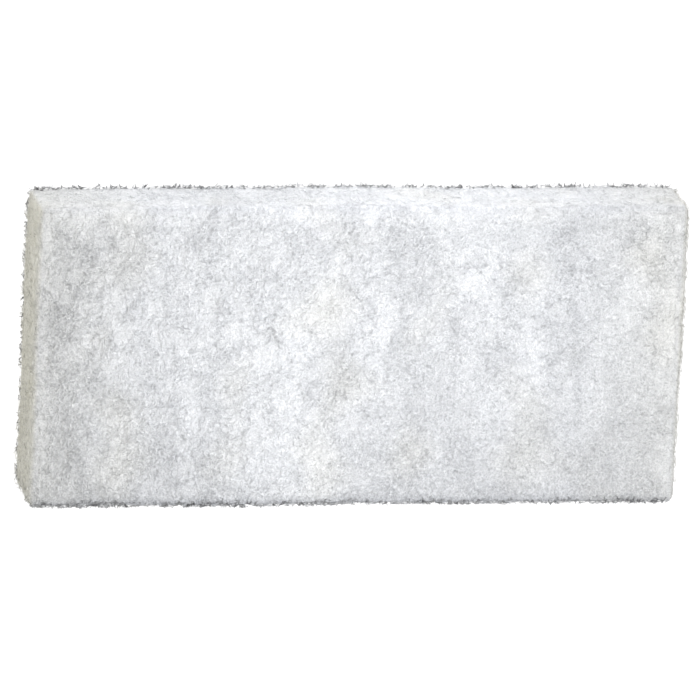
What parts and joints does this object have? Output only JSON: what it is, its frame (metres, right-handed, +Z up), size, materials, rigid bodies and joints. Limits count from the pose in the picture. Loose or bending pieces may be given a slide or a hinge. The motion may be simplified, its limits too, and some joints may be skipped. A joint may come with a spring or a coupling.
{
  "type": "nylon scouring pad",
  "caption": "Thick flat rectangular scouring pad of white lofty nonwoven nylon fibre, with soft faces and plain cut edges.",
  "frame": {"origin": "middle of the underside, on the surface that the pad lies on", "axes": "+X along the length, +Y along the width, +Z up through the thickness"},
  "size_m": [0.2546, 0.1206, 0.0311],
  "materials": {
    "nylon_web": "matt white crimped fibre web, open and lofty"
  },
  "bodies": {
    "root": {"scouring_pad": "nylon_web"}
  },
  "joints": []
}
